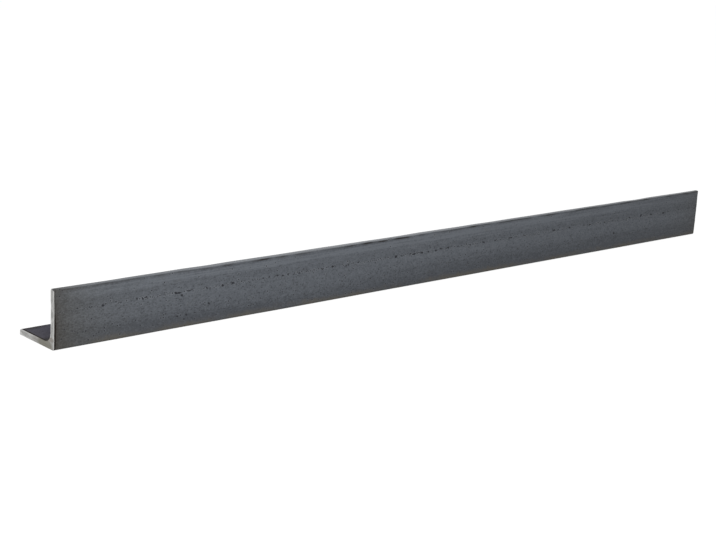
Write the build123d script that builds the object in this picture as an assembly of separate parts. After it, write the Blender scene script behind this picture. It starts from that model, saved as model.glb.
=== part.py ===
from build123d import *
import os

# Equal-leg hot-rolled steel angle, one straight piece of stock sawn square at both ends.
# Units are millimetres and +Z is up. The lying leg rests on the floor, the standing leg
# rises from its edge with the outer face towards -Y, and the piece runs along X.
# The origin is on the floor, under the middle of the piece's outer box.

# Driving dimensions
LEG_WIDTH = 30.0  # either leg, from the outer face of the other leg to its own toe
LEG_THICKNESS = 3.0  # either leg, parallel-sided
STOCK_LENGTH = 500.0  # from one sawn end to the other
ROOT_RADIUS = 5.0  # fillet that joins the two inner faces
TOE_RADIUS = 1.25  # inner edge of each toe, rounded by the rolls
TOE_EDGE_RADIUS = 0.25  # outer edge of each toe, left almost square
HEEL_RADIUS = 1.25  # outside corner where the two legs meet

NODE_NAME = "angle_section"
PARTS_FOLDER = "parts"


def square_outline():
    """Return the L as a flat face with sharp corners, its heel at the origin of the XY plane."""
    corners = [
        (0, 0),
        (LEG_WIDTH, 0),
        (LEG_WIDTH, LEG_THICKNESS),
        (LEG_THICKNESS, LEG_THICKNESS),
        (LEG_THICKNESS, LEG_WIDTH),
        (0, LEG_WIDTH),
    ]
    return make_face(Polyline(*corners, close=True))


def round_corner(profile, corner, radius):
    """Return the profile with the corner nearest to the given point rounded to the radius."""
    vertex = profile.vertices().sort_by_distance(corner)[0]
    return fillet(vertex, radius)


def toe_rounded(profile, outer_corner, inner_corner):
    """Return the profile with one toe finished: soft towards the inside, almost square outside."""
    profile = round_corner(profile, outer_corner, TOE_EDGE_RADIUS)
    return round_corner(profile, inner_corner, TOE_RADIUS)


def rolled_section():
    """Return the rolled section: the L with its root, both toes and its heel rounded."""
    profile = square_outline()
    profile = round_corner(profile, (LEG_THICKNESS, LEG_THICKNESS), ROOT_RADIUS)
    profile = toe_rounded(profile, (LEG_WIDTH, 0), (LEG_WIDTH, LEG_THICKNESS))
    profile = toe_rounded(profile, (0, LEG_WIDTH), (LEG_THICKNESS, LEG_WIDTH))
    return round_corner(profile, (0, 0), HEEL_RADIUS)


def angle_section():
    """Return the solid: the section set upright across X and carried along the whole length."""
    heel_to_middle = Pos(-LEG_WIDTH / 2, 0)
    upright = Plane.YZ * heel_to_middle * rolled_section()
    solid = extrude(upright, amount=STOCK_LENGTH / 2, both=True)
    solid.label = NODE_NAME
    return solid


os.makedirs(PARTS_FOLDER, exist_ok=True)
export_step(angle_section(), f"{PARTS_FOLDER}/{NODE_NAME}.step")
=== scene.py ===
"""Dresses a sawn length of hot-rolled steel angle: rolling scale, bare sawn ends and a plain studio.

The bar is one closed surface. Its section is a loop of straight faces and arcs, carried along the length
as whole arrays, with the slight unevenness that rolls, cooling and the saw leave on the real thing.
Lengths are in metres unless a name says otherwise. The near end is the one at -X.
"""

import logging
import math
from dataclasses import dataclass, field
from enum import Enum
from functools import reduce

import bpy
import numpy as np
from mathutils import Matrix, Vector


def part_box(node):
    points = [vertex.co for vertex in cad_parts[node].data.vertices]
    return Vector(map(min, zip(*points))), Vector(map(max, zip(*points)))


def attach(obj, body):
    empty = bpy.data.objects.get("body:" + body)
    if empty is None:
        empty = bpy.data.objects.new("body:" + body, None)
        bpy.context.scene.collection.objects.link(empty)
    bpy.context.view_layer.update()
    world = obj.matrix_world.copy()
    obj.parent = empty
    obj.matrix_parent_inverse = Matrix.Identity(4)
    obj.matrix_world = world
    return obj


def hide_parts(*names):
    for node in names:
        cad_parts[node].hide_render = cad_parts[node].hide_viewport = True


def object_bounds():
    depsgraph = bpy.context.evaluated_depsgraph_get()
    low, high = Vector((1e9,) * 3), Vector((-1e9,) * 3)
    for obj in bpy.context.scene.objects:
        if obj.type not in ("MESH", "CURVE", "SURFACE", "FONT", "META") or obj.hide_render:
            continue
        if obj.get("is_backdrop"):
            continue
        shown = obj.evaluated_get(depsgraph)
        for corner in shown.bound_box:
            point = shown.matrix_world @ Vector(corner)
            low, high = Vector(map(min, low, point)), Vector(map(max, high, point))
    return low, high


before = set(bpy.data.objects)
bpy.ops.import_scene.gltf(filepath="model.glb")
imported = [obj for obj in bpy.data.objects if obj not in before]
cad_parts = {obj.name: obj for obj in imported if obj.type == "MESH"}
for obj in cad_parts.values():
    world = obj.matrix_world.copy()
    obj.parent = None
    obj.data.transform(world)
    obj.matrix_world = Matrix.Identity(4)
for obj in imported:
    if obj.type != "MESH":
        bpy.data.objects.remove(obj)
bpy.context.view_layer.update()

log = logging.getLogger("angle_section")

BAR_NODE = "angle_section"
MM = 0.001
TOE_LINES = 5  # lines of a sawn end's inside that the shape of a toe's rim reaches

Triple = tuple[float, float, float]
Colour = Triple
Socket = bpy.types.NodeSocket
Spot = tuple[float, float]  # (across, up), from the heel
Stretch = tuple[np.ndarray, np.ndarray]  # points of the outline, and the normals that point out of the steel


# -------- Section of the bar --------


class Zone(Enum):
    """Stretches of the section's outline, in order round the loop from the heel."""

    UNDERSIDE = 0
    LYING_TOE = 1
    LYING_INNER = 2
    ROOT = 3
    STANDING_INNER = 4
    STANDING_TOE = 5
    STANDING_OUTER = 6
    HEEL = 7


@dataclass(frozen=True)
class SectionSizes:
    """Sizes of the rolled section."""

    leg: float  # width of either leg
    thickness: float = 3.0 * MM  # thickness of either leg
    root: float = 5.0 * MM  # radius of the fillet between the inner faces
    toe: float = 1.25 * MM  # radius of each toe's inner edge
    toe_edge: float = 0.25 * MM  # radius of each toe's outer edge
    heel: float = 1.25 * MM  # radius of the outside corner


@dataclass(frozen=True)
class RowCounts:
    """How many rows of the surface each stretch of the outline gets.

    A toe has three counts: for its round inner edge, for what is left of its flat, and for its outer
    edge.
    """

    underside: int = 12
    lying_inner: int = 10
    root: int = 7
    standing_inner: int = 14
    standing_outer: int = 64
    heel: int = 6
    toe_round: int = 5
    toe_flat: int = 2
    toe_edge: int = 2


@dataclass
class Outline:
    """The section's outline as arrays, one row for each point of the loop."""

    place: np.ndarray  # (across, up) of each point
    normal: np.ndarray  # unit vector that points out of the steel at each point
    zone: np.ndarray  # number of the Zone that each point belongs to

    def on(self, *zones: Zone) -> np.ndarray:
        """Return which points belong to any of some zones."""
        return np.isin(self.zone, [zone.value for zone in zones])

    def share_round(self) -> np.ndarray:
        """Return how far round the loop each point is, from 0 up to 1."""
        steps = np.linalg.norm(np.roll(self.place, -1, axis=0) - self.place, axis=1)
        return (np.cumsum(steps) - steps) / steps.sum()

    def end_rims(self) -> tuple[np.ndarray, np.ndarray, np.ndarray, np.ndarray]:
        """Return the four rims of a sawn end as numbers of the loop's points.

        Returns:
            The outer and the inner side, each from the lying toe to the standing one, and the lying and
            the standing toe, each from its outer edge to its inner one.
        """
        first = [int(np.argmax(self.on(zone))) for zone in Zone]
        lying_toe, lying_inner = first[Zone.LYING_TOE.value], first[Zone.LYING_INNER.value]
        standing_toe, standing_outer = first[Zone.STANDING_TOE.value], first[Zone.STANDING_OUTER.value]
        total = len(self.zone)
        return (
            np.arange(total + lying_toe, standing_outer - 1, -1) % total,
            np.arange(lying_inner, standing_toe + 1),
            np.arange(lying_toe, lying_inner + 1),
            np.arange(standing_outer, standing_toe - 1, -1),
        )


def smooth_step(value: np.ndarray, low: float, high: float) -> np.ndarray:
    """Return 0 below low, 1 above high, and 3t^2 - 2t^3 of the way t between them."""
    t = np.clip((value - low) / (high - low), 0, 1)
    return t * t * (3 - 2 * t)


def bell(value: np.ndarray, middle: float, reach: float) -> np.ndarray:
    """Return exp(-((value - middle) / reach)^2)."""
    return np.exp(-(((value - middle) / reach) ** 2))


def even_shares(count: int) -> np.ndarray:
    """Return shares from 0 up to, but not including, 1, at even steps."""
    return np.arange(count) / count


def graded_shares(count: int, weights: np.ndarray) -> np.ndarray:
    """Return shares from 0 up to, but not including, 1, closer together where weights are high.

    The running sum of the weights, scaled to end at 1, is turned round, so that equal steps of it give
    the shares.

    Args:
        count: number of shares.
        weights: positive samples of a density, at even steps.

    Returns:
        Array of shape (count,).
    """
    total = np.concatenate([[0.0], np.cumsum(weights[1:] + weights[:-1])])
    return np.interp(even_shares(count), total / total[-1], np.linspace(0.0, 1.0, len(weights)))


def edge_weights(share: np.ndarray, reach: float, gain: float) -> np.ndarray:
    """Return a density of 1 in the middle and 1 + gain at shares 0 and 1, falling off over reach."""
    return 1 + gain * (np.exp(-share / reach) + np.exp(-(1 - share) / reach))


def straight(start: Spot, end: Spot, shares: np.ndarray) -> Stretch:
    """Return a straight face, start * (1 - share) + end * share.

    Args:
        start: first point.
        end: point that the face runs to.
        shares: share of the way of each point.

    Returns:
        The stretch.
    """
    run = np.asarray(end) - np.asarray(start)
    points = np.asarray(start) + shares[:, None] * run
    outward = np.array([run[1], -run[0]]) / np.hypot(*run)
    return points, np.broadcast_to(outward, points.shape)


def arc(centre: Spot, radius: float, begin: float, sweep: float, count: int) -> Stretch:
    """Return an arc, centre + radius * (cos, sin) of the angle.

    A positive sweep turns with the loop and bulges out of the steel. A negative one is a fillet, whose
    normals point at its centre.

    Args:
        centre: centre.
        radius: radius.
        begin: first angle, in quarter turns.
        sweep: signed angle of the whole arc, in quarter turns.
        count: number of points, without the arc's last one.

    Returns:
        The stretch.
    """
    angle = (begin + sweep * even_shares(count)) * math.pi / 2
    spoke = np.stack([np.cos(angle), np.sin(angle)], axis=1)
    return np.asarray(centre) + radius * spoke, spoke * np.sign(sweep)


@dataclass
class RolledSection:
    """Works out the outline of the section."""

    sizes: SectionSizes
    rows: RowCounts
    heel_across: float  # position of the standing leg's outer face across the bar
    pit_height: float  # height of the line of pits, where the outer face's rows are closest together

    def _outer_shares(self) -> np.ndarray:
        """Return the outer face's shares from its top down, closest together by the pits and the edges.

        Returns:
            Array of shape (rows,).
        """
        share = np.linspace(0.0, 1.0, 600)
        by_pits = bell(self.sizes.leg * (1 - share), self.pit_height, 1.25 * MM)
        weights = edge_weights(share, reach=0.03, gain=2.5) + 1.6 * by_pits
        return graded_shares(self.rows.standing_outer, weights)

    def outline(self) -> Outline:
        """Return the outline: the heel at (heel_across, 0), run so that the steel is on its left.

        Returns:
            The loop's points, normals and zones.
        """
        s, rows = self.sizes, self.rows
        leg, edge, below = s.leg, s.leg - s.toe_edge, s.thickness - s.toe
        toe, corner = s.leg - s.toe, s.thickness + s.root
        flat = even_shares(rows.toe_flat)
        runs = (
            (Zone.UNDERSIDE, straight((s.heel, 0), (edge, 0), even_shares(rows.underside))),
            (Zone.LYING_TOE, arc((edge, s.toe_edge), s.toe_edge, 3, 1, rows.toe_edge)),
            (Zone.LYING_TOE, straight((leg, s.toe_edge), (leg, below), flat)),
            (Zone.LYING_TOE, arc((toe, below), s.toe, 0, 1, rows.toe_round)),
            (Zone.LYING_INNER, straight((toe, s.thickness), (corner, s.thickness),
                                        even_shares(rows.lying_inner))),
            (Zone.ROOT, arc((corner, corner), s.root, 3, -1, rows.root)),
            (Zone.STANDING_INNER, straight((s.thickness, corner), (s.thickness, toe),
                                           even_shares(rows.standing_inner))),
            (Zone.STANDING_TOE, arc((below, toe), s.toe, 0, 1, rows.toe_round)),
            (Zone.STANDING_TOE, straight((below, leg), (s.toe_edge, leg), flat)),
            (Zone.STANDING_TOE, arc((s.toe_edge, edge), s.toe_edge, 1, 1, rows.toe_edge)),
            (Zone.STANDING_OUTER, straight((0, edge), (0, s.heel), self._outer_shares())),
            (Zone.HEEL, arc((s.heel, s.heel), s.heel, 2, 1, rows.heel)),
        )
        place = np.concatenate([points for _, (points, _) in runs]) + [self.heel_across, 0.0]
        normal = np.concatenate([normals for _, (_, normals) in runs])
        zone = np.concatenate([np.full(len(points), zone.value) for zone, (points, _) in runs])
        return Outline(place, normal, zone)


# -------- Unevenness of the surface --------


def smooth_noise(along: np.ndarray, way: np.ndarray, cell: float, cells_round: int, seed: int,
                 ) -> np.ndarray:
    """Return smooth random heights of about unit size, which close on themselves round the bar.

    Normal random numbers stand on a lattice. Between its points the height is blended with the weight
    3w^2 - 2w^3 of the way w through the cell, along the bar and round it.

    Args:
        along: distance along the bar, any shape.
        way: share of the way round, from 0 to 1, of the same shape.
        cell: length of a cell along the bar.
        cells_round: number of cells round it, the last of which joins the first.
        seed: seed of the random numbers.

    Returns:
        Array of the same shape.
    """
    u = (along - along.min()) / cell
    v = way * cells_round
    low_u, low_v = np.floor(u).astype(int), np.floor(v).astype(int)
    lattice = np.random.default_rng(seed).standard_normal((low_u.max() + 2, cells_round))
    weight_u, weight_v = smooth_step(u - low_u, 0, 1), smooth_step(v - low_v, 0, 1)
    this_v, next_v = low_v % cells_round, (low_v + 1) % cells_round
    here = lattice[low_u, this_v] * (1 - weight_u) + lattice[low_u + 1, this_v] * weight_u
    there = lattice[low_u, next_v] * (1 - weight_u) + lattice[low_u + 1, next_v] * weight_u
    return here * (1 - weight_v) + there * weight_v


@dataclass(frozen=True)
class Pits:
    """Small pits that rolled-in scale left on the standing leg's outer face.

    Most lie in one row, fainter by the near end. The large ones have places of their own, and they
    grow by a third towards the far end.
    """

    height: float = 18.75 * MM  # height of the row
    straying: float = 0.3 * MM  # how far a pit strays from the row, as a standard deviation
    spacing: float = 4.0 * MM  # mean distance between neighbours in the row
    loose: int = 160  # number of faint pits scattered over the face, most of them low down
    # (distance from the near end, height) of each large pit
    large_mm: tuple[tuple[float, float], ...] = (
        (27, 18.5), (46.5, 19), (50, 18.5), (70, 18.5), (71.5, 18.5), (73.5, 17), (99, 18.5),
        (105.5, 19), (135, 19), (150, 18.5), (173.5, 19), (220.5, 18.5), (235, 18.5), (241, 18.5),
        (246, 18.5), (252, 18.5), (262, 19), (355, 19), (369, 19), (440, 19.5), (463.5, 18.5),
        (71, 6.5), (75, 4.5), (76.5, 6.5), (90.5, 10.5), (413.5, 10.5),
    )
    seed: int = 41  # seed of the random ones

    def _places(self, low: float, high: float) -> np.ndarray:
        """Return the pits' places, sizes and strengths.

        The row's pits follow each other at gamma-distributed distances. The loose ones lie evenly
        along the bar, at a height that is 1.5 mm plus 25 mm times a random share to the power 1.6.

        Args:
            low: where the bar begins.
            high: where it ends.

        Returns:
            Rows of (along, up, half length, half height, strength).
        """
        rng = np.random.default_rng(self.seed)
        row = low + np.cumsum(rng.gamma(0.8, self.spacing / 0.8, int((high - low) / self.spacing)))
        row = row[row < high]
        large = np.asarray(self.large_mm) * MM
        along = np.concatenate([row, rng.uniform(low, high, self.loose), low + large[:, 0]])
        loose_up = 1.5 * MM + 25 * MM * rng.uniform(0, 1, self.loose) ** 1.6
        row_up = self.height + rng.normal(0, self.straying, len(row))
        up = np.concatenate([row_up, loose_up, large[:, 1]])
        faint = 0.5 + 0.5 * smooth_step(row - low, 20 * MM, 50 * MM)
        strength = np.concatenate([
            (0.3 + 0.5 * rng.uniform(0, 1, len(row)) ** 1.5) * faint,
            0.12 + 0.25 * rng.uniform(0, 1, self.loose) ** 2,
            rng.uniform(1.0, 1.3, len(large)),
        ])
        size = rng.uniform(0.34, 0.5, len(along)) * MM
        size[-len(large):] *= 1 + 0.33 * large[:, 0] / (high - low)
        return np.stack([along, up, 1.15 * size, 0.9 * size, strength], axis=1)

    def depth(self, along: np.ndarray, up: np.ndarray) -> np.ndarray:
        """Return how deep in a pit each point lies, from 0 outside to 1 in the deepest.

        Each pit is a bell, strength * exp(-(dx / half length)^2) * exp(-(dz / half height)^2). The
        bells are added, and their sum is cut off at 1.

        Args:
            along: positions along the bar.
            up: heights on the face.

        Returns:
            Array of shape (positions, heights).
        """
        pits = self._places(along[0], along[-1])
        bells_along = bell(along[None, :], pits[:, 0:1], pits[:, 2:3])
        bells_up = bell(up[None, :], pits[:, 1:2], pits[:, 3:4]) * pits[:, 4:5]
        return np.clip(bells_along.T @ bells_up, 0, 1)


@dataclass(frozen=True)
class Unevenness:
    """Heights of the small irregularities of a rolled and sawn bar."""

    streak: float = 0.01 * MM  # height of the fine ridges that run along the bar
    wave: float = 0.03 * MM  # height of the broad waves of the faces
    toe_wave: float = 0.06 * MM  # how far a toe's edge wanders
    pit: float = 0.12 * MM  # depth of the deepest pit
    kerf: float = 0.025 * MM  # unevenness of a sawn end
    burr: float = 0.05 * MM  # how far the saw's burr stands out at an end
    lean: float = 0.0175  # how far the cuts lean out of square, as a slope
    bow: float = 0.17 * MM  # how far they bend over at the top, on top of that


@dataclass(frozen=True)
class Cloud:
    """A broad lighter or darker cloud on the standing leg's outer face."""

    from_near_mm: float  # distance of its middle from the near end
    height_mm: float  # height of its middle
    reach_mm: float  # half its length
    reach_up_mm: float  # half its height
    change: float  # what it adds to the tone in its middle

    def on(self, from_near: np.ndarray, up: np.ndarray) -> np.ndarray:
        """Return its change times a bell along the bar and a bell up the face."""
        lengthwise = bell(from_near, self.from_near_mm * MM, self.reach_mm * MM)
        return self.change * lengthwise * bell(up, self.height_mm * MM, self.reach_up_mm * MM)


@dataclass
class ScaleMap:
    """Works out the values, most of them from 0 to 1, that the scale's finish reads at the surface points."""

    bar: "AngleBar"
    # broad changes of the scale's tone; the darker one at the far end is painted shade where the light falls
    # off along the bar
    tone_and_shade_clouds: tuple[Cloud, ...] = (
        Cloud(0, 4, 160, 9, -0.12), Cloud(15, 21, 35, 4, -0.2), Cloud(150, 8, 80, 7, 0.08),
        Cloud(500, 25, 130, 9, -0.13),
    )

    def __post_init__(self) -> None:
        """Take the points' places from the bar, and work out where the edge of the worn and highlighted strip
        runs.

        across and up are the distances of the outline's points from the heel, and from_near is that of
        each surface point from the near end.
        """
        self.on = self.bar.outline.on
        self.across = self.bar.outline.place[:, 0] - self.bar.low.y
        self.up = self.bar.outline.place[:, 1]
        self.from_near = self.bar.x - self.bar.low.x
        self.below_edge = self._below_edge()

    def _ripple(self, cell: float, seed: int) -> np.ndarray:
        """Return smooth noise that changes only along the bar."""
        return smooth_noise(self.bar.x, 0 * self.bar.way, cell, cells_round=3, seed=seed)

    def _below_edge(self) -> np.ndarray:
        """Return how many metres each point lies below the edge of the standing toe's worn strip, which also
        has a painted highlight.

        The worn strip and its painted highlight reach 0.15 mm down the outer face at the near end and
        0.45 mm from 100 mm on, and they fade out between 200 and 430 mm. Its edge wanders by an eighth of a
        millimetre.

        Returns:
            Array of shape (stations, points of the outline).
        """
        reach = 0.15 * MM + 0.3 * MM * smooth_step(self.from_near, 15 * MM, 100 * MM)
        reach = reach * (1 - smooth_step(self.from_near, 200 * MM, 430 * MM))
        return self.bar.sizes.leg - self.up - reach - 0.125 * MM * self._ripple(cell=0.01, seed=10)

    def tone(self) -> np.ndarray:
        """Return how light the scale is.

        On the outer face it rises from 0 at the heel to 0.63 at mid height and 1 near the top, with a
        shallow dip in between and a deeper one below the worn strip's edge, which is painted shade under
        the standing toe, and the clouds are added, the darker one at the far end as painted shade. On the
        lying leg's inner face it falls from 0.75 at the root to 0.45 at the toe, and it is 0.5
        elsewhere. Bands that run along the bar are added everywhere.

        Returns:
            Array of shape (stations, points of the outline).
        """
        outer = 0.63 * smooth_step(self.up, 3 * MM, 14 * MM) + 0.37 * smooth_step(self.up, 23.5 * MM, 26 * MM)
        # the dip below the toe's edge is painted shade under the standing toe
        outer = outer - 0.12 * bell(self.up, 21.2 * MM, 2.2 * MM) - 0.4 * bell(self.below_edge, MM, 0.85 * MM)
        outer = outer + sum(cloud.on(self.from_near, self.up) for cloud in self.tone_and_shade_clouds)
        lying = 0.75 - 0.3 * smooth_step(self.across, 6 * MM, 30 * MM)
        plain = np.where(self.on(Zone.LYING_INNER, Zone.LYING_TOE), lying, 0.5)
        plain = np.where(self.on(Zone.STANDING_OUTER, Zone.HEEL), outer, plain)
        bands = 0.08 * self.bar.noise(0.15, 34, seed=7) + 0.05 * self.bar.noise(0.06, 110, seed=8)
        return np.clip(plain + bands, 0, 1)

    def wear_and_highlight(self) -> np.ndarray:
        """Return how worn the standing toe and the strip down to its edge are, which also sets their painted
        highlight.

        The wear and its painted highlight are full from 200 mm on, a third of that near the end, and there
        is none at the end itself.

        Returns:
            Array of shape (stations, points of the outline).
        """
        full = 0.35 + 0.65 * smooth_step(self.from_near, 0, 200 * MM)
        full = full * smooth_step(self.from_near, 0.5 * MM, 5 * MM)
        strip = self.on(Zone.STANDING_OUTER) * (1 - smooth_step(self.below_edge, 0, 0.25 * MM))
        return full * np.where(self.on(Zone.STANDING_TOE), 1.0, strip)

    def painted_shade(self) -> np.ndarray:
        """Return how much painted shade darkens each point.

        There is a line of painted shade 0.6 mm below the worn strip's edge, under the standing toe, a little
        stronger by the far end, and another round the lying toe's inner edge. By the near end painted shade
        lies in the root, where the inner faces meet, and beside the lying toe, with a ragged rim.

        Returns:
            Array of shape (stations, points of the outline).
        """
        # painted shade: a dark line under the standing toe's edge, and round the lying toe's inner edge
        line = self.on(Zone.STANDING_OUTER) * bell(self.below_edge, 0.6 * MM, 0.45 * MM)
        line = line + 0.6 * self.on(Zone.LYING_TOE) * smooth_step(self.up, 1 * MM, 2 * MM)
        uneven = 0.47 + 0.3 * self._ripple(cell=0.006, seed=9)
        uneven = np.clip(uneven + 0.13 * smooth_step(self.from_near, 400 * MM, 500 * MM), 0, 1)
        ragged = self.from_near + 1.2 * MM * self.bar.noise(0.003, 70, seed=11)
        # painted shade in the root and beside the lying toe, by the near end
        root = self.on(Zone.ROOT, Zone.LYING_INNER) * bell(self.across + self.up, 10.5 * MM, 4 * MM)
        root = root * (1 - smooth_step(ragged, 6 * MM, 12 * MM))
        beside_toe = self.on(Zone.LYING_INNER, Zone.LYING_TOE) * smooth_step(self.across, 25.5 * MM, 28 * MM)
        beside_toe = beside_toe * (1 - smooth_step(ragged, 7 * MM, 15 * MM))
        return np.maximum(line * uneven, np.maximum(root, beside_toe))

    def values(self) -> dict[str, np.ndarray]:
        """Work out all the values.

        from_end is in metres. drawn says how far the rolls drew the scale's pattern out into threads,
        which they did fully near the top of the outer face.

        Returns:
            Attribute name to array of shape (stations, points of the outline).
        """
        outer = self.on(Zone.STANDING_OUTER)
        from_heel = np.hypot(self.across, self.up)
        every = np.ones(self.from_near.shape)
        return {
            "pit": self.bar.pit_depth,
            "tone": self.tone(),
            "painted_shade": self.painted_shade(),
            "wear_and_highlight": self.wear_and_highlight(),
            "drawn": every * np.where(outer, smooth_step(self.up, 21 * MM, 26 * MM), 0.3),
            "outer": every * outer,
            "inner": every * self.on(Zone.LYING_INNER, Zone.ROOT, Zone.STANDING_INNER),
            "from_end": self.bar.from_end,
            "heel": every * np.clip(1 - from_heel / (4.5 * MM), 0, 1),
        }


# -------- Shader nodes --------


def new_object(name: str, data: bpy.types.ID) -> bpy.types.Object:
    """Put a new object into the scene.

    Args:
        name: its name.
        data: its mesh, light or camera.

    Returns:
        The object.
    """
    made = bpy.data.objects.new(name, data)
    bpy.context.scene.collection.objects.link(made)
    return made


def cleared_tree(owner: bpy.types.Material | bpy.types.World) -> bpy.types.NodeTree:
    """Give a material or a world nodes, and empty its tree.

    Args:
        owner: the material or world.

    Returns:
        Its tree.
    """
    owner.use_nodes = True
    owner.node_tree.nodes.clear()
    return owner.node_tree


class NodeSheet:
    """A node tree with short ways to add and join its nodes."""

    def __init__(self, tree: bpy.types.NodeTree) -> None:
        """Take over a tree."""
        self.tree = tree

    def add(self, kind: str, inputs: dict | None = None, **settings: object) -> bpy.types.Node:
        """Add a node, set its properties, and fill or join its inputs.

        Args:
            kind: type of the node, as in bpy.
            inputs: input name or number to a value, or to a socket to join to it.
            **settings: properties of the node.

        Returns:
            The new node.
        """
        node = self.tree.nodes.new(kind)
        for name, value in settings.items():
            setattr(node, name, value)
        for key, value in (inputs or {}).items():
            if isinstance(value, Socket):
                self.tree.links.new(value, node.inputs[key])
            else:
                node.inputs[key].default_value = value
        return node

    def math(self, operation: str, *values: float | Socket, clamp: bool = False) -> Socket:
        """Return the result of a Math node, kept between 0 and 1 if clamp is set."""
        inputs = dict(enumerate(values))
        return self.add("ShaderNodeMath", inputs, operation=operation, use_clamp=clamp).outputs[0]

    def product(self, *values: float | Socket) -> Socket:
        """Return the product of some values."""
        return reduce(lambda first, second: self.math("MULTIPLY", first, second), values)

    def ramp(self, value: Socket, low: float | Socket, high: float | Socket, out_low: float = 0.0,
             out_high: float = 1.0, kind: str = "SMOOTHSTEP") -> Socket:
        """Return value carried from the range low..high to out_low..out_high, and no further."""
        inputs = {"Value": value, "From Min": low, "From Max": high, "To Min": out_low, "To Max": out_high}
        return self.add("ShaderNodeMapRange", inputs, interpolation_type=kind).outputs[0]

    def blend(self, share: Socket | float, first: Socket | Colour, second: Socket | Colour,
              mode: str = "MIX") -> Socket:
        """Return the first colour changed towards the second by share, in the way that mode names."""
        first, second = (c if isinstance(c, Socket) else (*c, 1.0) for c in (first, second))
        return self.add("ShaderNodeMix", {0: share, 6: first, 7: second}, data_type="RGBA",
                        blend_type=mode).outputs[2]

    def vector(self, operation: str, first: Socket, second: Socket | Triple) -> Socket:
        """Return the result of a Vector Math node, a number where the operation is a distance."""
        outputs = self.add("ShaderNodeVectorMath", {0: first, 1: second}, operation=operation).outputs
        return outputs["Value" if operation == "DISTANCE" else "Vector"]

    def noise(self, vector: Socket, scale: float | Socket, detail: float | Socket, roughness: float,
              ) -> Socket:
        """Return the value of a noise texture."""
        inputs = {"Vector": vector, "Scale": scale, "Detail": detail, "Roughness": roughness}
        return self.add("ShaderNodeTexNoise", inputs).outputs[0]

    def parts(self, vector: Socket) -> bpy.types.NodeOutputs:
        """Return the x, y and z of a vector."""
        return self.add("ShaderNodeSeparateXYZ", {0: vector}).outputs

    def rays(self) -> tuple[Socket, Socket]:
        """Return whether the camera sees a place itself, and whether in a reflection or through glass."""
        path = self.add("ShaderNodeLightPath").outputs
        return path["Is Camera Ray"], self.math("MAXIMUM", path["Is Glossy Ray"], path["Is Transmission Ray"])

    def attribute(self, name: str) -> Socket:
        """Return a float attribute of the surface."""
        return self.add("ShaderNodeAttribute", None, attribute_name=name).outputs["Fac"]


class EffectGroup(NodeSheet):
    """A shader node group with named inputs and outputs."""

    def __init__(self, name: str, inputs: dict[str, float | tuple], outputs: tuple[str, ...]) -> None:
        """Make the group with its sockets.

        Args:
            name: the group's name.
            inputs: socket name to default value; a tuple makes a vector socket.
            outputs: names of the value sockets that the group puts out.
        """
        super().__init__(bpy.data.node_groups.new(name, "ShaderNodeTree"))
        for key, value in inputs.items():
            kind = "NodeSocketVector" if isinstance(value, tuple) else "NodeSocketFloat"
            self.tree.interface.new_socket(key, in_out="INPUT", socket_type=kind).default_value = value
        for key in outputs:
            self.tree.interface.new_socket(key, in_out="OUTPUT", socket_type="NodeSocketFloat")
        self.given = self.add("NodeGroupInput").outputs

    def put_out(self, results: dict[str, Socket]) -> bpy.types.NodeTree:
        """Join the results to the group's outputs, and return its tree."""
        self.add("NodeGroupOutput", results)
        return self.tree


def grain_group() -> bpy.types.NodeTree:
    """Make the grain group: noise stretched along one direction, spread over 0 to 1.

    Its value is a noise of the stretched position, carried from (0.5 - Spread, 0.5 + Spread) to (0, 1).
    It serves as rolling streaks on the scale, as saw lines on the ends, and as mottling and specks.

    Returns:
        The group's tree.
    """
    defaults = {"Vector": (0.0, 0.0, 0.0), "Stretch": (1.0, 1.0, 1.0), "Detail": 2.0, "Spread": 0.2}
    group = EffectGroup("grain", defaults, ("Value",))
    given = group.given
    placed = group.vector("MULTIPLY", given["Vector"], given["Stretch"])
    noise = group.noise(placed, 1.0, given["Detail"], 0.55)
    low, high = (group.math(way, 0.5, given["Spread"]) for way in ("SUBTRACT", "ADD"))
    return group.put_out({"Value": group.ramp(noise, low, high, kind="LINEAR")})


def ragged_band_group() -> bpy.types.NodeTree:
    """Make the ragged band group: a mask that is 1 below a distance and fades out unevenly.

    The mask is smoothstep(Reach + Fade, Reach, Distance + (noise - 0.5) * Raggedness). It serves as
    the dark rim beside a cut, as rust and as stains.
    the flaked rim of scale beside a cut, as rust and as stains.

    Returns:
        The group's tree.
    """
    defaults = {"Vector": (0.0, 0.0, 0.0), "Distance": 0.0, "Reach": 0.001, "Fade": 0.001,
                "Raggedness": 0.001, "Grain": 300.0}
    group = EffectGroup("ragged_band", defaults, ("Mask",))
    given = group.given
    noise = group.noise(given["Vector"], given["Grain"], 3.0, 0.6)
    distance = group.math("MULTIPLY_ADD", group.math("SUBTRACT", noise, 0.5), given["Raggedness"],
                          given["Distance"])
    end = group.math("ADD", given["Reach"], given["Fade"])
    return group.put_out({"Mask": group.ramp(distance, given["Reach"], end, 1.0, 0.0)})


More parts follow.
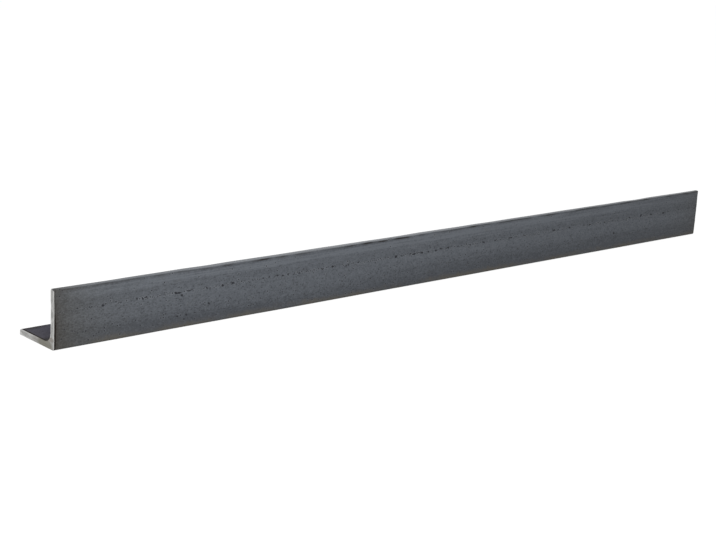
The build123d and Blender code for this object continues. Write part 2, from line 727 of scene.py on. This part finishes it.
def crater_group() -> bpy.types.NodeTree:
    """Make the crater group: a row of small round craters with raised rims, on a face that stands along X.

    The face is divided into cells of the size Cell, each with one crater at a random place. The crater
    is kept where a random number of the cell is below the chance, which is Chance for craters whose
    middle is within half a cell of the height Height, and Loose for the others. Its depth fades from 1
    at 0.12 cells from the middle to 0 at 0.34 cells, and its rim is highest at 0.42 cells.

    Returns:
        The group's tree.
    """
    defaults = {"Vector": (0.0, 0.0, 0.0), "Height": 0.0, "Cell": 0.003, "Chance": 0.5, "Loose": 0.0}
    group = EffectGroup("craters", defaults, ("Depth", "Rim"))
    given = group.given
    part = group.parts(given["Vector"])
    along = group.math("DIVIDE", part["X"], given["Cell"])
    up = group.math("DIVIDE", group.math("SUBTRACT", part["Z"], given["Height"]), given["Cell"])
    flat = group.add("ShaderNodeCombineXYZ", {0: along, 1: group.math("ADD", up, 0.5)}).outputs[0]
    cells = group.add("ShaderNodeTexVoronoi", {"Vector": flat, "Scale": 1.0, "Randomness": 0.8},
                      voronoi_dimensions="2D").outputs
    off_row = group.math("ABSOLUTE", group.math("SUBTRACT", group.parts(cells["Position"])["Y"], 0.5))
    in_row = group.math("LESS_THAN", off_row, 0.5)
    gain = group.math("SUBTRACT", given["Chance"], given["Loose"])
    luck = group.add("ShaderNodeSeparateColor", {0: cells["Color"]}).outputs
    kept = group.math("LESS_THAN", luck["Red"], group.math("MULTIPLY_ADD", in_row, gain, given["Loose"]))
    strength = group.product(kept, group.ramp(luck["Green"], 0.0, 1.0, 0.35, 1.0))
    bowl = group.ramp(cells["Distance"], 0.12, 0.34, 1.0, 0.0)
    off_rim = group.math("ABSOLUTE", group.math("SUBTRACT", cells["Distance"], 0.42))
    rim = group.ramp(off_rim, 0.0, 0.12, 1.0, 0.0)
    return group.put_out({"Depth": group.product(bowl, strength), "Rim": group.product(rim, strength)})


@dataclass
class SteelEffects:
    """The node groups of the bar's finishes, each made once."""

    grain: bpy.types.NodeTree = field(default_factory=grain_group)  # stretched noise
    ragged_band: bpy.types.NodeTree = field(default_factory=ragged_band_group)  # mask with an uneven rim
    craters: bpy.types.NodeTree = field(default_factory=crater_group)  # row of small craters


@dataclass(frozen=True)
class Grain:
    """A noise over the steel."""

    cells: Triple  # its cells per metre along x, y and z
    detail: float  # finer layers of noise
    spread: float  # half width of the noise's range that becomes 0 to 1
    plain: float = 0.0  # how much it changes the tone of plain scale
    drawn: float = 0.0  # how much it changes the tone of scale that is drawn out into threads


class FinishSheet(NodeSheet):
    """The nodes of a new material, with the shared groups at hand."""

    def __init__(self, name: str, effects: SteelEffects) -> None:
        """Make the material.

        Args:
            name: its name.
            effects: the shared node groups.
        """
        self.material = bpy.data.materials.new(name)
        super().__init__(cleared_tree(self.material))
        self.effects = effects
        self.place = self.add("ShaderNodeTexCoord").outputs["Object"]

    def _effect(self, group: bpy.types.NodeTree, **inputs: float | tuple | Socket) -> bpy.types.NodeOutputs:
        """Return what a shared group puts out at each place on the bar."""
        return self.add("ShaderNodeGroup", {"Vector": self.place, **inputs}, node_tree=group).outputs

    def grain(self, grain: Grain) -> Socket:
        """Return a noise, from 0 to 1."""
        return self._effect(self.effects.grain, Stretch=grain.cells, Detail=grain.detail,
                            Spread=grain.spread)["Value"]

    def band(self, distance: Socket, reach: float, fade: float, ragged: float, cells: float) -> Socket:
        """Return a mask that is full up to the distance reach and gone by reach + fade.

        Args:
            distance: distance from the edge or place that the band follows.
            reach: distance up to which it is full.
            fade: distance over which it fades.
            ragged: how far its rim wanders.
            cells: cells of the wandering per metre.

        Returns:
            The mask.
        """
        return self._effect(self.effects.ragged_band, Distance=distance, Reach=reach, Fade=fade,
                            Raggedness=ragged, Grain=cells)["Mask"]

    def craters(self, height: float, cell: float, chance: Socket, loose: Socket) -> tuple[Socket, Socket]:
        """Return the depth and the rim of a row of craters.

        Args:
            height: height of the row.
            cell: size of the cells, each of which may hold a crater.
            chance: chance of a crater in a cell of the row.
            loose: chance in the other cells.

        Returns:
            The depth and the rim, each from 0 to 1.
        """
        outputs = self._effect(self.effects.craters, Height=height, Cell=cell, Chance=chance, Loose=loose)
        return outputs["Depth"], outputs["Rim"]

    def finished(self, inputs: dict, relief: Socket, strength: float, depth: float) -> bpy.types.Material:
        """Add the shader and its bump.

        Args:
            inputs: inputs of the Principled shader, by name.
            relief: height of the fine relief.
            strength: strength of the bump.
            depth: depth of the relief.

        Returns:
            The material.
        """
        bump = self.add("ShaderNodeBump", {"Height": relief, "Strength": strength, "Distance": depth})
        shader = self.add("ShaderNodeBsdfPrincipled", {**inputs, "Normal": bump.outputs[0]})
        self.add("ShaderNodeOutputMaterial", {"Surface": shader.outputs[0]})
        return self.material


# -------- Finishes --------


@dataclass(frozen=True)
class MillScaleFinish:
    """Blue-grey rolling scale with streaks, specks and craters whose rims carry a painted highlight, worn
    toes with a painted highlight, painted shade under the toes, in the root and on the inner faces by
    the ends, stains and painted shade by the ends, and rust along the heel.
    """

    light: Colour = (0.1125, 0.1225, 0.1380)  # the lighter bands
    dark: Colour = (0.0540, 0.0588, 0.0675)  # the darker bands
    inner_shade_tint: Colour = (0.63, 0.555, 0.68)  # painted shade on the inner faces by a sawn end, tinted purple, as a factor
    speck: Colour = (0.020, 0.021, 0.025)  # specks, pits and craters
    ridge_and_highlight: Colour = (0.155, 0.163, 0.176)  # the craters' rims, lighter as a painted highlight
    worn_highlight: Colour = (0.215, 0.222, 0.235)  # the worn toe, lighter also as a painted highlight
    rust: Colour = (0.081, 0.074, 0.063)  # thin rust along the heel
    faded_and_shaded: Colour = (0.078, 0.079, 0.077)  # what the scale fades to over some centimetres from an end: a heat stain, and painted shade where the light falls off towards the end
    burnt_and_shaded: Colour = (0.044, 0.041, 0.037)  # the scale close to a sawn end: burnt, and painted shade
    rim: Colour = (0.010, 0.007, 0.005)  # the dark ragged band beside an end, and the painted shade under the toes and in the root
    metallic: float = 0.05  # share of metal in its look
    specular: float = 0.10  # strength of its plain gloss, where 0.5 is that of glass
    roughness: float = 0.5  # roughness of the outer faces
    inner_roughness: float = 0.85  # roughness of the inner faces
    streaks: Grain = Grain((8.0, 840.0, 840.0), 2.0, 0.22, 0.03, 0.12)  # drawn out along the bar
    mottle: Grain = Grain((300.0, 340.0, 340.0), 2.0, 0.2, 0.25, 0.18)  # of some millimetres
    specks: Grain = Grain((1000.0, 1500.0, 1500.0), 1.0, 0.24, 0.57, 0.5)  # of a millimetre and less
    threads: Grain = Grain((32.0, 1900.0, 1900.0), 2.0, 0.22, 0.05, 0.85)  # finer than the streaks
    patches: Grain = Grain((45.0, 160.0, 160.0), 3.0, 0.2)  # breaks up the rust
    crowding: Grain = Grain((48.0, 0.0, 0.0), 1.0, 0.2)  # crowds the craters along the bar
    crater_cell: float = 1.5 * MM  # size of the cells that hold the craters
    relief: float = 0.03 * MM  # depth of the bump

    def material(self, effects: SteelEffects, bar: "AngleBar") -> bpy.types.Material:
        """Make the finish.

        Args:
            effects: shared node groups.
            bar: the bar, for the height of its row of pits.

        Returns:
            The material.
        """
        sheet = FinishSheet("mill_scale", effects)
        grains = (self.streaks, self.mottle, self.specks, self.threads)
        noises = {grain: sheet.grain(grain) for grain in grains}
        mottle, specks = noises[self.mottle], noises[self.specks]
        # painted highlight: the worn toe and the strip below it are made lighter, together with their wear
        wear_and_highlight = sheet.product(sheet.attribute("wear_and_highlight"), sheet.ramp(noises[self.streaks], 0.0, 1.0, 0.6, 1.0))
        colour = sheet.blend(wear_and_highlight, self._scale_colour(sheet, noises), self.worn_highlight)
        # painted shade under the toes and in the root, darkened to the rim colour and made rough
        painted_shade = sheet.attribute("painted_shade")
        colour = self._stained_colour(sheet, specks, sheet.blend(painted_shade, colour, self.rim))
        depth, ridge_and_highlight = self._craters(sheet, bar.pits.height)
        # painted highlight on the craters' raised rims
        colour = sheet.blend(sheet.product(ridge_and_highlight, 0.95), colour, self.ridge_and_highlight)
        pits = sheet.math("MAXIMUM", sheet.ramp(sheet.attribute("pit"), 0.04, 0.5), depth)
        base = sheet.ramp(sheet.attribute("inner"), 0.0, 1.0, self.roughness, self.inner_roughness)
        uneven = sheet.math("MULTIPLY_ADD", sheet.math("SUBTRACT", mottle, 0.5), 0.12, base)
        relief = sheet.math("MULTIPLY_ADD", mottle, 0.9, sheet.product(specks, 0.6))
        relief = sheet.math("MULTIPLY_ADD", depth, -2.0, sheet.math("MULTIPLY_ADD", ridge_and_highlight, 0.7, relief))
        shader = {"Base Color": sheet.blend(pits, colour, self.speck), "Metallic": self.metallic,
                  "Specular IOR Level": self.specular, "Roughness": sheet.math("MAXIMUM", uneven, painted_shade)}
        return sheet.finished(shader, relief, strength=0.5, depth=self.relief)

    def _scale_colour(self, sheet: FinishSheet, noises: dict[Grain, Socket]) -> Socket:
        """Return sound scale's colour: the surface's own tone, stirred by the noises, and dark pores.

        Args:
            sheet: the material's sheet.
            noises: the noises, each of which changes the tone by (noise - 0.5) * its weight.

        Returns:
            The colour.
        """
        drawn = sheet.attribute("drawn")
        tone = sheet.attribute("tone")
        for grain, noise in noises.items():
            weight = sheet.math("MULTIPLY_ADD", drawn, grain.drawn - grain.plain, grain.plain)
            tone = sheet.math("MULTIPLY_ADD", sheet.math("SUBTRACT", noise, 0.5), weight, tone)
        colour = sheet.blend(sheet.math("MULTIPLY", tone, 1.0, clamp=True), self.dark, self.light)
        pores = sheet.ramp(noises[self.specks], 0.22, 0.0)
        pores = sheet.product(pores, sheet.ramp(drawn, 0.0, 1.0, 0.55, 0.12))
        return sheet.blend(pores, colour, self.speck)

    def _stained_colour(self, sheet: FinishSheet, specks: Socket, colour: Socket) -> Socket:
        """Return the colour with rust along the heel, and with painted shade, stains and a dark rim at the
        ends.

        The rust lies in patches. Painted shade, tinted purple, darkens the inner faces up to 120 mm from
        the end. With the distance d from the end, the scale is faded by 0.72 * exp(-d / 25 mm) and burnt by
        exp(-d / 8 mm), heat stains that also paint the shade of the light falling off towards the end, a
        little less so high up and much less on the inner faces, and its specks stay. The rim is darkest
        at the foot of the end. The far end has a third of this.

        Args:
            sheet: the material's sheet.
            specks: noise of a millimetre and less.
            colour: the colour so far.

        Returns:
            The colour.
        """
        part = sheet.parts(sheet.place)
        inner = sheet.attribute("inner")
        from_end = sheet.attribute("from_end")
        near_end = sheet.ramp(part["X"], -0.05, 0.05, 1.0, 0.33)
        from_heel = sheet.math("SUBTRACT", 1.0, sheet.attribute("heel"))
        patches = sheet.ramp(sheet.grain(self.patches), 0.0, 1.0, 0.15, 1.0)
        rust = sheet.product(sheet.band(from_heel, reach=0.1, fade=0.9, ragged=1.0, cells=380.0), patches)
        colour = sheet.blend(rust, colour, self.rust)
        # painted shade on the inner faces up to 120 mm from the end, tinted purple
        inner_shade = sheet.product(sheet.ramp(from_end, 0.035, 0.120, 1.0, 0.0), near_end, inner)
        colour = sheet.blend(inner_shade, colour, self.inner_shade_tint, "MULTIPLY")
        low_down = sheet.ramp(part["Z"], 0.010, 0.029, 1.0, 0.75)
        share_here = sheet.product(low_down, sheet.ramp(inner, 0.0, 1.0, 1.0, 0.25), near_end)
        grainy = sheet.ramp(specks, 0.0, 1.0, 0.8, 1.2)
        # heat stains that also paint the shade of the light falling off towards the ends
        for stain, share, reach in ((self.faded_and_shaded, 0.72, 25 * MM), (self.burnt_and_shaded, 1.0, 8 * MM)):
            fall = sheet.math("EXPONENT", sheet.math("MULTIPLY", from_end, -1 / reach))
            fall = sheet.product(fall, share, share_here)
            colour = sheet.blend(fall, sheet.blend(fall, colour, stain), grainy, "MULTIPLY")
        rim = sheet.band(from_end, reach=0.8 * MM, fade=0.45 * MM, ragged=1.0 * MM, cells=520.0)
        rim = sheet.product(rim, sheet.ramp(part["Z"], 0.013, 0.022, 1.0, 0.15), near_end)
        return sheet.blend(rim, colour, self.rim)

    def _craters(self, sheet: FinishSheet, height: float) -> tuple[Socket, Socket]:
        """Return the depth and rim of the small craters, which only the standing leg's outer face has.

        Their rims, raised in the bump and lighter as a painted highlight, show less below the row and by the
        ends.

        Args:
            sheet: the material's sheet.
            height: height of the row.

        Returns:
            The depth and the rim, each from 0 to 1.
        """
        chance = sheet.ramp(sheet.grain(self.crowding), 0.0, 1.0, 0.35, 1.0)
        up = sheet.parts(sheet.place)["Z"]
        outer = sheet.attribute("outer")
        loose = sheet.ramp(up, 0.010, 0.0175, 0.09, 0.03)
        depth, ridge_and_highlight = sheet.craters(height, self.crater_cell, chance, loose)
        by_end = sheet.ramp(sheet.attribute("from_end"), 0.010, 0.045, 0.3, 1.0)
        by_row = sheet.ramp(up, 0.014, 0.018, 0.4, 1.0)
        return sheet.product(depth, outer), sheet.product(ridge_and_highlight, outer, by_row, by_end)


@dataclass(frozen=True)
class SawnSteelFinish:
    """Bare steel that the saw left, with lines along each leg, a thin film of rust, some stains and a painted
    highlight along the rims of each end.
    """

    bright: Colour = (0.515, 0.515, 0.505)  # the brighter saw lines
    dull: Colour = (0.26, 0.26, 0.25)  # the duller ones
    film: Colour = (0.24, 0.225, 0.205)  # a thin film of rust, on the lying leg and by the root
    stain: Colour = (0.150, 0.144, 0.112)  # the stain below the root
    scorch: Colour = (0.040, 0.039, 0.042)  # the outer corner at the top
    metallic: float = 0.35  # share of metal
    roughness: tuple[float, float] = (0.34, 0.52)  # lowest and highest roughness
    lines_up: Grain = Grain((80.0, 800.0, 200.0), 3.0, 0.14)  # drawn out up the standing leg
    lines_across: Grain = Grain((80.0, 120.0, 800.0), 3.0, 0.14)  # drawn out across the lying leg
    cloud: Grain = Grain((240.0, 240.0, 240.0), 3.0, 0.22)  # of some millimetres
    relief: float = 0.04 * MM  # depth of the bump

    def material(self, effects: SteelEffects, bar: "AngleBar") -> bpy.types.Material:
        """Make the finish.

        The film fades towards the lying leg's toe and is uneven. Each leg's end is lighter by its rims, as
        a painted highlight, and a little duller midway between its faces.

        Args:
            effects: shared node groups.
            bar: the bar, for its sizes.

        Returns:
            The material.
        """
        sheet = FinishSheet("sawn_steel", effects)
        lying = sheet.attribute("lying_end")
        lines = sheet.add("ShaderNodeMix", {0: lying, 2: sheet.grain(self.lines_up),
                                            3: sheet.grain(self.lines_across)}).outputs[0]
        cloud = sheet.grain(self.cloud)
        tone = sheet.math("MULTIPLY_ADD", lines, 0.75, sheet.math("MULTIPLY_ADD", cloud, 0.25, 0.25))
        # painted highlight: the end is lighter by its rims than midway between its faces
        tone = sheet.math("MULTIPLY_ADD", sheet.attribute("rim_highlight_core"), -0.45, tone)
        colour = sheet.blend(sheet.ramp(tone, 0.0, 1.0), self.dull, self.bright)
        thin = sheet.product(lying, sheet.ramp(cloud, 0.0, 1.0, 0.55, 0.95))
        heel, leg = bar.low.y, bar.sizes.leg
        for across, up, reach, fade, share, stain in (
            (heel, 0.0, 10 * MM, 17.5 * MM, thin, self.film),
            (heel + 0.27 * leg, 1.5 * MM, 4.5 * MM, 3 * MM, 0.8, self.stain),
            (heel + 0.09 * leg, 4.8 * MM, 1.6 * MM, 1.4 * MM, 1.0, self.film),
            (heel, leg, 1.2 * MM, 1.2 * MM, 1.0, self.scorch),
        ):
            patch = self._patch(sheet, across, up, reach, fade)
            colour = sheet.blend(sheet.product(patch, share), colour, stain)
        shader = {"Base Color": colour, "Metallic": self.metallic,
                  "Roughness": sheet.ramp(cloud, 0.0, 1.0, *self.roughness)}
        return sheet.finished(shader, lines, strength=0.6, depth=self.relief)

    @staticmethod
    def _patch(sheet: FinishSheet, across: float, up: float, reach: float, fade: float) -> Socket:
        """Return the mask of a patch with an uneven rim, half as high as it is wide, on both ends.

        Args:
            sheet: the material's sheet.
            across: its middle across the bar.
            up: height of its middle.
            reach: half width up to which it is full.
            fade: distance over which it fades.

        Returns:
            The mask.
        """
        squeezed = sheet.vector("MULTIPLY", sheet.place, (0.0, 1.0, 2.0))
        distance = sheet.vector("DISTANCE", squeezed, (0.0, across, 2 * up))
        return sheet.band(distance, reach, fade, ragged=0.3 * fade, cells=400.0)


# -------- The bar --------


def path_shares(points: np.ndarray) -> np.ndarray:
    """Return how far along a chain of points each point is, from 0 to 1."""
    total = np.concatenate([[0.0], np.cumsum(np.linalg.norm(np.diff(points, axis=0), axis=1))])
    return total / total[-1]


def zip_strip(first: np.ndarray, second: np.ndarray, first_share: np.ndarray, second_share: np.ndarray,
              ) -> np.ndarray:
    """Return a strip of triangles between two chains of points that run the same way.

    Each step of a chain makes one triangle, with the point of the other chain that has been reached
    by then: the one after as many of its own steps as have their middle before this step's middle.

    Args:
        first: numbers of the first chain's points.
        second: numbers of the second chain's points.
        first_share: share of the way of each of the first chain's points.
        second_share: likewise for the second.

    Returns:
        Array of shape (steps of both chains, 3).
    """
    first_middle = (first_share[1:] + first_share[:-1]) / 2
    second_middle = (second_share[1:] + second_share[:-1]) / 2
    across = second[np.searchsorted(second_middle, first_middle, side="left")]
    back = first[np.searchsorted(first_middle, second_middle, side="right")]
    on_first = np.stack([first[:-1], first[1:], across], axis=1)
    on_second = np.stack([back, second[1:], second[:-1]], axis=1)
    return np.concatenate([on_first, on_second])


@dataclass
class AngleBar:
    """The whole piece: a straight length of the rolled section, closed by two sawn ends."""

    low: Vector  # lowest corner of the solid that it stands for
    high: Vector  # highest corner of that solid
    stations: int = 740  # number of cross-sections along the length
    rows: RowCounts = RowCounts()
    pits: Pits = Pits()
    unevenness: Unevenness = Unevenness()
    scale: MillScaleFinish = MillScaleFinish()  # on the rolled surface
    sawn: SawnSteelFinish = SawnSteelFinish()  # on the ends

    def __post_init__(self) -> None:
        """Take the bar's sizes from the solid's box, and lay out its surface points.

        Each point has its place x along the bar and its share of the way round, as arrays of shape
        (stations, points of the outline).
        """
        self.length = self.high.x - self.low.x
        self.sizes = SectionSizes(leg=self.high.z - self.low.z)
        self.outline = RolledSection(self.sizes, self.rows, self.low.y, self.pits.height).outline()
        self.along = self._station_places()
        self.x, self.way = np.meshgrid(self.along, self.outline.share_round(), indexing="ij")
        self.from_end = self.length / 2 - np.abs(self.x)
        face = self.outline.on(Zone.STANDING_OUTER)
        self.pit_depth = np.zeros(self.x.shape)
        self.pit_depth[:, face] = self.pits.depth(self.along, self.outline.place[face, 1])

    def _station_places(self) -> np.ndarray:
        """Return the stations' positions along the bar, closest together at the two ends."""
        weights = edge_weights(np.linspace(0.0, 1.0, 3000), reach=0.004, gain=4.0)
        return self.low.x + self.length * np.append(graded_shares(self.stations - 1, weights), 1.0)

    def noise(self, cell: float, cells_round: int, seed: int) -> np.ndarray:
        """Return smooth noise over the surface, with cells of a length along it and a number round it."""
        return smooth_noise(self.x, self.way, cell, cells_round, seed)

    def _heights(self) -> np.ndarray:
        """Return how far each surface point stands out of the plain section.

        The height is the sum of fine ridges along the bar, broad waves, the wandering of the toes and
        a burr that falls off with the distance from a sawn end, less the pits' depth.

        Returns:
            Array of shape (stations, points of the outline).
        """
        u = self.unevenness
        toes = self.outline.on(Zone.LYING_TOE, Zone.STANDING_TOE)
        burr = np.clip(self.noise(0.75, 60, seed=4), 0, 1.5) * np.exp(-self.from_end / (0.3 * MM))
        heights = u.streak * self.noise(0.075, 180, seed=1) + u.wave * self.noise(0.035, 14, seed=2)
        heights += u.toe_wave * self.noise(0.015, 14, seed=3) * toes + u.burr * burr
        return heights - u.pit * self.pit_depth

    def _rolled_surface(self) -> tuple[np.ndarray, np.ndarray]:
        """Return the rolled surface: the outline at every station, moved along its normals.

        Every station leans as the saw cuts do, by lean times the height above the middle, and bends
        over at the top by bow.

        Returns:
            Points of shape (stations * outline, 3), and faces of four points.
        """
        section = self.outline.place[None] + self._heights()[:, :, None] * self.outline.normal[None]
        up = section[:, :, 1:]
        x = self.along[:, None, None] - self.unevenness.lean * (up - self.sizes.leg / 2)
        x = x - self.unevenness.bow * smooth_step(up, 20 * MM, 27 * MM)
        number = np.arange(self.x.size).reshape(self.x.shape)
        following = np.roll(number, -1, axis=1)
        faces = np.stack([number[:-1], following[:-1], following[1:], number[1:]], axis=-1)
        return np.concatenate([x, section], axis=2).reshape(-1, 3), faces.reshape(-1, 4)

    def _sawn_end(self, rim: np.ndarray, first_rim: int, first_new: int, seed: int,
                  ) -> tuple[np.ndarray, np.ndarray, np.ndarray, np.ndarray]:
        """Return the points inside a sawn end, and the faces that fill it, seen from the -X side.

        The inside lies on lines that run along the L from toe to toe. A line's point is the blend
        (1 - t) * outer + t * inner of the two sides, and near a toe it is moved by what the toe's rim
        differs from that blend. The points are also moved along the bar by a smooth noise, as the saw
        left them. Squares join the lines, and a strip of triangles joins the first line to the outer
        side, which has more points.

        Args:
            rim: the end's points of the outline, shape (outline, 3).
            first_rim: number of the first of them in the whole surface.
            first_new: number that the first new point gets.
            seed: seed of the noise.

        Returns:
            New points of shape (count, 3), how deep in the section each of them is, from 0 to 1, which
            the painted rim highlight of the sawn steel reads, faces of four points, and faces of three.
        """
        outer, inner, lying_toe, standing_toe = self.outline.end_rims()
        side, deep = len(inner) - 1, len(lying_toe) - 1
        outer_share, inner_share = path_shares(rim[outer]), path_shares(rim[inner])
        outer_points = np.stack([np.interp(inner_share, outer_share, rim[outer][:, k]) for k in range(3)], 1)
        t = np.linspace(0, 1, deep + 1)[None, :, None]
        grid = outer_points[:, None] * (1 - t) + rim[inner][:, None] * t
        near_toe = np.clip(1 - np.arange(side + 1) / TOE_LINES, 0, 1)[:, None, None]
        grid = grid + near_toe * (rim[lying_toe] - grid[0]) + near_toe[::-1] * (rim[standing_toe] - grid[-1])
        inside = grid[1:-1, 1:-1].reshape(-1, 3)
        way = (inside[:, 1] - self.low.y + inside[:, 2]) / (4 * self.sizes.leg)
        inside[:, 0] += self.unevenness.kerf * smooth_noise(inside[:, 2], way, 0.003, 40, seed)
        number = np.zeros((side + 1, deep + 1), dtype=int)
        number[:, -1] = first_rim + inner
        number[0], number[-1] = first_rim + lying_toe, first_rim + standing_toe
        number[1:-1, 1:-1] = first_new + np.arange(len(inside)).reshape(side - 1, deep - 1)
        squares = np.stack([number[:-1, 1:-1], number[1:, 1:-1], number[1:, 2:], number[:-1, 2:]], axis=-1)
        strip = zip_strip(first_rim + outer, number[:, 1], outer_share, inner_share)
        rim_highlight_core = np.broadcast_to(1 - np.abs(2 * t[0, 1:-1, 0] - 1), (side - 1, deep - 1)).ravel()
        return inside, rim_highlight_core, squares.reshape(-1, 4), strip

    def mesh(self) -> bpy.types.Mesh:
        """Make the bar's closed mesh, with the attributes that its finishes read.

        Returns:
            The mesh, whose first material slot is the scale and whose second is the sawn steel.
        """
        rolled, rolled_faces = self._rolled_surface()
        loop, count = len(self.outline.place), len(rolled)
        near, near_rim_highlight_core, near_squares, near_strip = self._sawn_end(rolled[:loop], 0, count, seed=5)
        far, far_rim_highlight_core, far_squares, far_strip = self._sawn_end(
            rolled[-loop:], count - loop, count + len(near), seed=6)
        points = np.concatenate([rolled, near, far])
        squares = np.concatenate([rolled_faces, near_squares, far_squares[:, ::-1]])
        triangles = np.concatenate([near_strip, far_strip[:, ::-1]])
        mesh = bpy.data.meshes.new("rolled_angle_surface")
        mesh.from_pydata(points.tolist(), [], squares.tolist() + triangles.tolist())
        sawn = np.arange(len(squares) + len(triangles)) >= len(rolled_faces)
        mesh.polygons.foreach_set("use_smooth", np.ones(len(sawn), dtype=bool))
        mesh.polygons.foreach_set("material_index", sawn.astype(np.int32))
        self._sharpen_rims(mesh, loop, count)
        spare = np.zeros(len(points) - count)
        values = {name: np.append(value.ravel(), spare) for name, value in ScaleMap(self).values().items()}
        values["lying_end"] = points[:, 1] - self.low.y > points[:, 2] - self.low.z
        # depth into each end, which sets the painted highlight along its rims
        values["rim_highlight_core"] = np.concatenate([np.zeros(count), near_rim_highlight_core, far_rim_highlight_core])
        for name, value in values.items():
            mesh.attributes.new(name, "FLOAT", "POINT").data.foreach_set("value", value.astype(np.float32))
        mesh.update()
        return mesh

    @staticmethod
    def _sharpen_rims(mesh: bpy.types.Mesh, loop: int, count: int) -> None:
        """Keep the shading crisp where the rolled surface meets a sawn end.

        An edge is part of a rim when both its points are in the first station, or both in the last.

        Args:
            mesh: the bar's mesh.
            loop: number of points in a station.
            count: number of points in all the stations.
        """
        ends = np.empty(len(mesh.edges) * 2, dtype=np.int32)
        mesh.edges.foreach_get("vertices", ends)
        ends = ends.reshape(-1, 2)
        first = (ends < loop).all(axis=1)
        last = ((ends >= count - loop) & (ends < count)).all(axis=1)
        mesh.attributes.new("sharp_edge", "BOOLEAN", "EDGE").data.foreach_set("value", first | last)

    def build(self) -> bpy.types.Object:
        """Make the piece, dress it, and put it in the CAD node's place.

        Returns:
            The piece.
        """
        piece = new_object("rolled_angle", self.mesh())
        effects = SteelEffects()
        for finish in (self.scale, self.sawn):
            piece.data.materials.append(finish.material(effects, self))
        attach(piece, "root")
        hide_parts(BAR_NODE)
        return piece


# -------- The studio --------


@dataclass(frozen=True)
class SoftLamp:
    """A square soft lamp."""

    name: str
    place: Triple  # where it hangs
    aim: Triple  # the point that it faces
    power: float  # its power, in watts
    size: float = 0.4  # length of its side

    def build(self) -> None:
        """Hang the lamp."""
        data = bpy.data.lights.new(self.name, "AREA")
        data.shape = "SQUARE"
        data.size = self.size
        data.energy = self.power
        lamp = new_object(self.name, data)
        lamp.location = self.place
        facing = Vector(self.aim) - Vector(self.place)
        lamp.rotation_euler = facing.to_track_quat("-Z", "Y").to_euler()


@dataclass(frozen=True)
class Studio:
    """A white floor and background, soft lamps and the camera."""

    floor_level: float  # height of the floor, which the lowest point of the bar touches
    floor_radius: float = 15.0  # half width of the floor
    floor_glow: float = 0.94  # share of the floor's white that the camera sees whatever the light
    floor_colour: float = 0.1  # brightness of the floor for the camera, on top of its glow
    floor_bounce: float = 0.4  # brightness of the floor as it lights the bar from below
    ambient: float = 0.7  # strength of the background as light on the bar
    lamps: tuple[SoftLamp, ...] = (
        SoftLamp("key_lamp", (-0.36, -0.45, 0.375), (-0.15, 0.0, 0.015), 3.4),
        SoftLamp("fill_lamp", (-0.5, 0.65, 0.3), (-0.05, 0.0, 0.015), 2.1),
    )
    lens_mm: float = 82.03  # focal length of the camera, for a sensor 36 mm wide
    camera_place: Triple = (-0.64935, -0.63495, 0.2414)  # where the camera stands
    azimuth_deg: float = -43.658  # direction of the view, turned from +Y towards -X
    elevation_deg: float = 14.819  # how far the camera looks down
    roll_deg: float = 4.134  # how far it is turned about its own axis, its right side up

    def _build_floor(self) -> None:
        """Lay the floor: white to the camera, with the bar's soft shadow on it, and white in the gloss."""
        material = bpy.data.materials.new("studio_floor")
        sheet = NodeSheet(cleared_tree(material))
        bounce, lit = (
            sheet.add("ShaderNodeBsdfDiffuse", {"Color": (grey, grey, grey, 1.0)}).outputs[0]
            for grey in (self.floor_bounce, self.floor_colour))
        glow, white = (
            sheet.add("ShaderNodeEmission", {"Strength": strength}).outputs[0]
            for strength in (self.floor_glow, 1.0))
        seen = sheet.add("ShaderNodeAddShader", {0: lit, 1: glow}).outputs[0]
        direct, mirrored = sheet.rays()
        mix = sheet.add("ShaderNodeMixShader", {0: mirrored, 1: bounce, 2: white}).outputs[0]
        mix = sheet.add("ShaderNodeMixShader", {0: direct, 1: mix, 2: seen}).outputs[0]
        sheet.add("ShaderNodeOutputMaterial", {"Surface": mix})
        mesh = bpy.data.meshes.new("studio_floor")
        r, level = self.floor_radius, self.floor_level
        mesh.from_pydata([(-r, -r, level), (r, -r, level), (r, r, level), (-r, r, level)], [], [(0, 1, 2, 3)])
        mesh.materials.append(material)
        floor = new_object("studio_floor", mesh)
        floor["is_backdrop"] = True

    def _build_world(self) -> None:
        """Make the background: white where it is seen, and weaker as light."""
        world = bpy.data.worlds.new("studio")
        sheet = NodeSheet(cleared_tree(world))
        strength = sheet.ramp(sheet.math("MAXIMUM", *sheet.rays()), 0.0, 1.0, self.ambient, 1.0)
        light = sheet.add("ShaderNodeBackground", {"Color": (1, 1, 1, 1), "Strength": strength})
        sheet.add("ShaderNodeOutputWorld", {"Surface": light.outputs[0]})
        bpy.context.scene.world = world

    def _build_camera(self) -> None:
        """Set up the camera from its angles.

        Its back axis is (sin a cos e, -cos a cos e, sin e) for azimuth a and elevation e. Its right axis
        is level, and both are then turned about the back axis by the roll.
        """
        a, e, roll = (math.radians(v) for v in (self.azimuth_deg, self.elevation_deg, self.roll_deg))
        back = Vector((math.sin(a) * math.cos(e), -math.cos(a) * math.cos(e), math.sin(e)))
        level = Vector((math.cos(a), math.sin(a), 0.0))
        right = level * math.cos(roll) + back.cross(level) * math.sin(roll)
        turn = Matrix((right, back.cross(right), back)).transposed()
        data = bpy.data.cameras.new("camera")
        data.lens = self.lens_mm
        camera = new_object("camera", data)
        camera.matrix_world = Matrix.Translation(self.camera_place) @ turn.to_4x4()
        bpy.context.scene.camera = camera

    def build(self) -> None:
        """Build the floor, the background, the lamps and the camera."""
        bpy.context.scene.view_settings.view_transform = "Standard"
        self._build_floor()
        self._build_world()
        for lamp in self.lamps:
            lamp.build()
        self._build_camera()


def main() -> None:
    """Build the bar and the studio round it, and report each piece."""
    logging.basicConfig(level=logging.INFO, format="%(message)s")
    low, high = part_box(BAR_NODE)
    bar = AngleBar(low, high).build()
    log.info("%s: %d faces", bar.name, len(bar.data.polygons))
    Studio(floor_level=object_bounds()[0][2]).build()
    log.info("studio: floor, background, lamps and camera")


if __name__ == "__main__":
    main()
